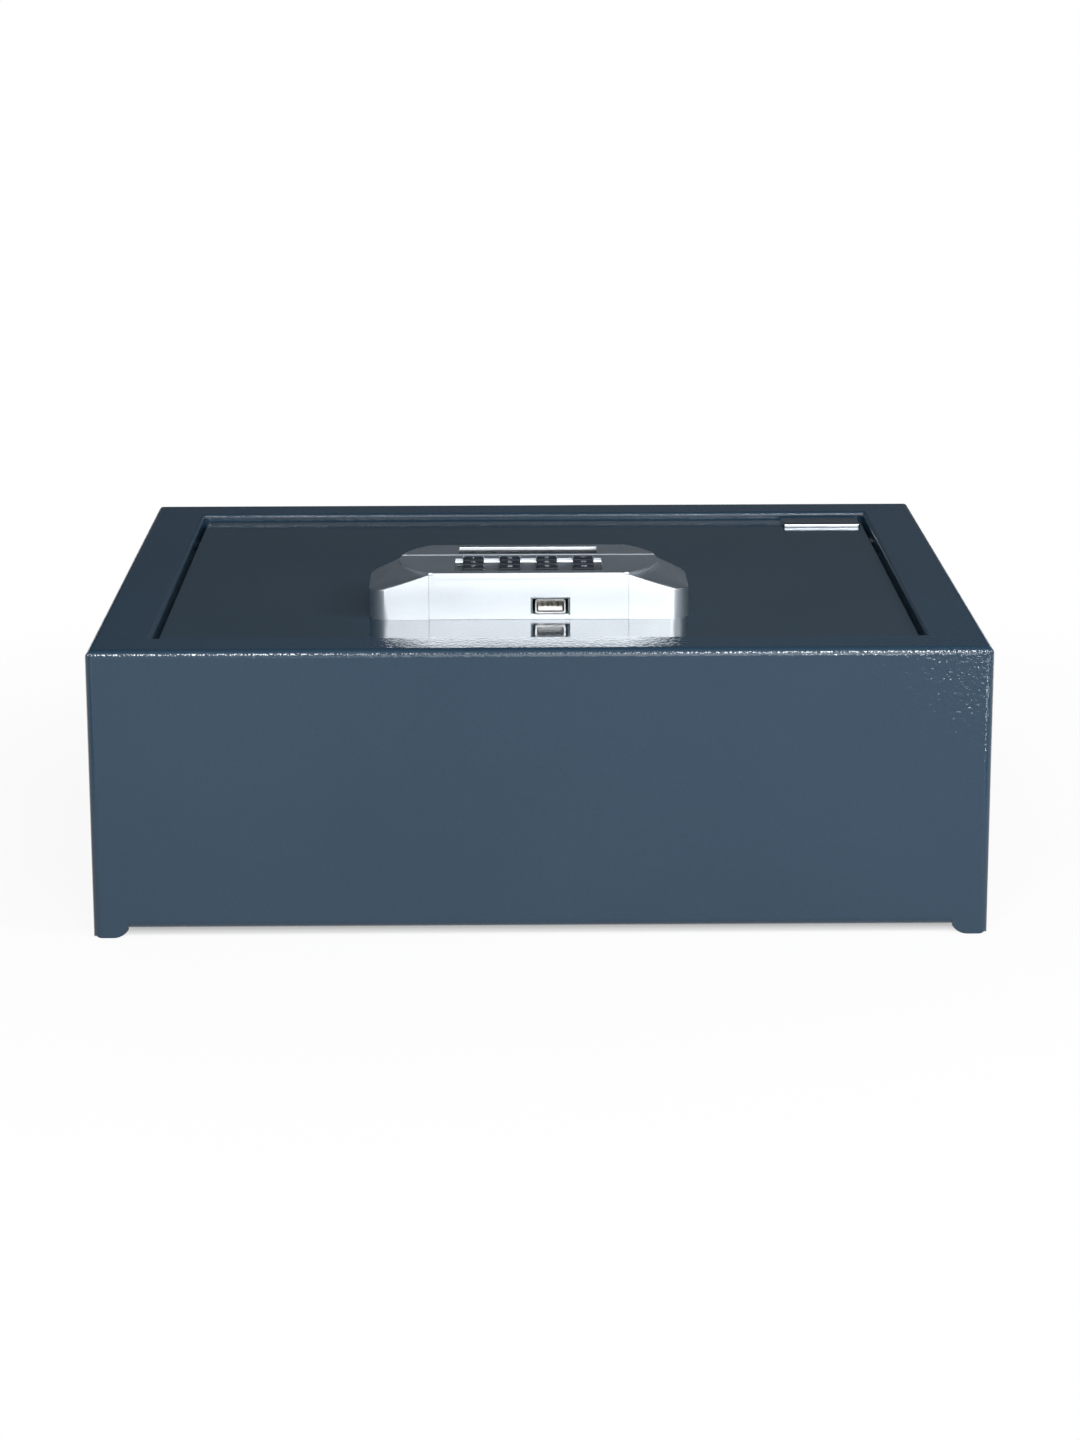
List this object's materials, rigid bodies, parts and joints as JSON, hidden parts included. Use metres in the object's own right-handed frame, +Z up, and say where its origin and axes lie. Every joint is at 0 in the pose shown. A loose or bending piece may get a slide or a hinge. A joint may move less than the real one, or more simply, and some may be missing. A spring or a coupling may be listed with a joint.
{
  "type": "top-opening drawer safe",
  "caption": "Flat steel drawer safe with a sunken hinged lid, a moulded keypad lock with display window and charging port, and motor-driven bolts under the lid.",
  "frame": {"origin": "on the floor under the feet, at the middle of the body's width and depth, the lid shut", "axes": "+X towards the safe's right, +Y from the front towards the hinge, +Z up"},
  "size_m": [0.4, 0.35, 0.1497],
  "materials": {
    "grey_paint": "blue-grey powder coat with a light orange-peel texture, semi-gloss",
    "floor_felt": "matt needle felt",
    "zinc_steel": "zinc-plated steel",
    "black_rubber": "matt black rubber",
    "plate_silver": "glossy silver plate, bare",
    "silver_plastic": "silver lacquered moulding, satin",
    "window_black": "dark tinted window, glossy",
    "pale_plastic": "white insulator plastic",
    "board_green": "green solder mask",
    "grey_rubber": "grey silicone rubber",
    "lamp_lens": "tinted lamp lens",
    "black_plastic": "black moulded plastic, fine grain",
    "port_steel": "nickel-plated sheet",
    "contact_gold": "gold-plated contacts",
    "bolt_steel": "turned and polished steel",
    "pinion_brass": "machined brass",
    "ribbon_grey": "flat cable's grey insulation",
    "cell_wrap": "plain shrink wrap, no print",
    "key_plastic": null
  },
  "bodies": {
    "safe_body": {"body_shell": "grey_paint", "base_plate": "grey_paint", "floor_mat": "floor_felt", "hinge_bracket_left": "zinc_steel", "hinge_bracket_right": "zinc_steel", "hinge_pins": "zinc_steel", "lid_buffers": "black_rubber"},
    "lid": {"lid_plate": "grey_paint", "hinge_lug_left": "grey_paint", "hinge_lug_right": "grey_paint", "name_plate": "plate_silver", "lock_housing": "silver_plastic", "housing_screws": "zinc_steel", "front_fascia": "silver_plastic", "keypad_panel": "silver_plastic", "display_panel": "silver_plastic", "display_window": "window_black", "display_module": "pale_plastic", "circuit_board": "board_green", "board_standoffs": "zinc_steel", "keypad_mat": "grey_rubber", "status_lamp": "lamp_lens", "buzzer": "black_plastic", "usb_shell": "port_steel", "usb_tongue": "pale_plastic", "usb_contacts": "contact_gold", "usb_board": "board_green", "bolt_guide": "zinc_steel", "gearmotor": "zinc_steel", "motor_bracket": "zinc_steel", "ribbon_cable": "ribbon_grey", "mechanism_cover": "black_plastic", "cover_screws": "zinc_steel", "battery_tray": "black_plastic", "batteries": "cell_wrap", "battery_contacts": "port_steel"},
    "bolts": {"bolt_plate": "zinc_steel", "bolt_rack": "zinc_steel", "live_bolts": "bolt_steel"},
    "pinion": {"drive_pinion": "pinion_brass"},
    "door": {"battery_door": "black_plastic"},
    "press_0": {"key_0": "key_plastic"},
    "press_1": {"key_1": "key_plastic"},
    "press_2": {"key_2": "key_plastic"},
    "press_3": {"key_3": "key_plastic"},
    "press_4": {"key_4": "key_plastic"},
    "press_5": {"key_5": "key_plastic"},
    "press_6": {"key_6": "key_plastic"},
    "press_7": {"key_7": "key_plastic"},
    "press_8": {"key_8": "key_plastic"},
    "press_9": {"key_9": "key_plastic"},
    "press_star": {"key_star": "key_plastic"},
    "press_hash": {"key_hash": "key_plastic"}
  },
  "joints": [
    {"name": "lid_hinge", "type": "hinge", "parent": "safe_body", "child": "lid", "pos_m": [0, 0.13, 0.1185], "axis": [-1, 0, 0], "range_deg": [0, 100]},
    {"name": "bolt_slide", "type": "slide", "parent": "lid", "child": "bolts", "axis": [0, -1, 0], "range_m": [0, 0.015]},
    {"name": "pinion_spin", "type": "hinge", "parent": "lid", "child": "pinion", "pos_m": [0, -0.072, 0.0985], "axis": [1, 0, 0], "range_deg": [-1, 145]},
    {"name": "battery_door_slide", "type": "slide", "parent": "lid", "child": "door", "axis": [-1, 0, 0], "range_m": [0, 0.05]},
    {"name": "key_0_press", "type": "slide", "parent": "lid", "child": "press_0", "axis": [0, 0, -1], "range_m": [0, 0.001], "stiffness_N_per_m": 800, "springref_m": -0.0005},
    {"name": "key_1_press", "type": "slide", "parent": "lid", "child": "press_1", "axis": [0, 0, -1], "range_m": [0, 0.001], "stiffness_N_per_m": 800, "springref_m": -0.0005},
    {"name": "key_2_press", "type": "slide", "parent": "lid", "child": "press_2", "axis": [0, 0, -1], "range_m": [0, 0.001], "stiffness_N_per_m": 800, "springref_m": -0.0005},
    {"name": "key_3_press", "type": "slide", "parent": "lid", "child": "press_3", "axis": [0, 0, -1], "range_m": [0, 0.001], "stiffness_N_per_m": 800, "springref_m": -0.0005},
    {"name": "key_4_press", "type": "slide", "parent": "lid", "child": "press_4", "axis": [0, 0, -1], "range_m": [0, 0.001], "stiffness_N_per_m": 800, "springref_m": -0.0005},
    {"name": "key_5_press", "type": "slide", "parent": "lid", "child": "press_5", "axis": [0, 0, -1], "range_m": [0, 0.001], "stiffness_N_per_m": 800, "springref_m": -0.0005},
    {"name": "key_6_press", "type": "slide", "parent": "lid", "child": "press_6", "axis": [0, 0, -1], "range_m": [0, 0.001], "stiffness_N_per_m": 800, "springref_m": -0.0005},
    {"name": "key_7_press", "type": "slide", "parent": "lid", "child": "press_7", "axis": [0, 0, -1], "range_m": [0, 0.001], "stiffness_N_per_m": 800, "springref_m": -0.0005},
    {"name": "key_8_press", "type": "slide", "parent": "lid", "child": "press_8", "axis": [0, 0, -1], "range_m": [0, 0.001], "stiffness_N_per_m": 800, "springref_m": -0.0005},
    {"name": "key_9_press", "type": "slide", "parent": "lid", "child": "press_9", "axis": [0, 0, -1], "range_m": [0, 0.001], "stiffness_N_per_m": 800, "springref_m": -0.0005},
    {"name": "key_star_press", "type": "slide", "parent": "lid", "child": "press_star", "axis": [0, 0, -1], "range_m": [0, 0.001], "stiffness_N_per_m": 800, "springref_m": -0.0005},
    {"name": "key_hash_press", "type": "slide", "parent": "lid", "child": "press_hash", "axis": [0, 0, -1], "range_m": [0, 0.001], "stiffness_N_per_m": 800, "springref_m": -0.0005}
  ],
  "couplings": [
    {"joint": "pinion_spin", "follows": "bolt_slide", "rad_per_m": 166.67}
  ]
}
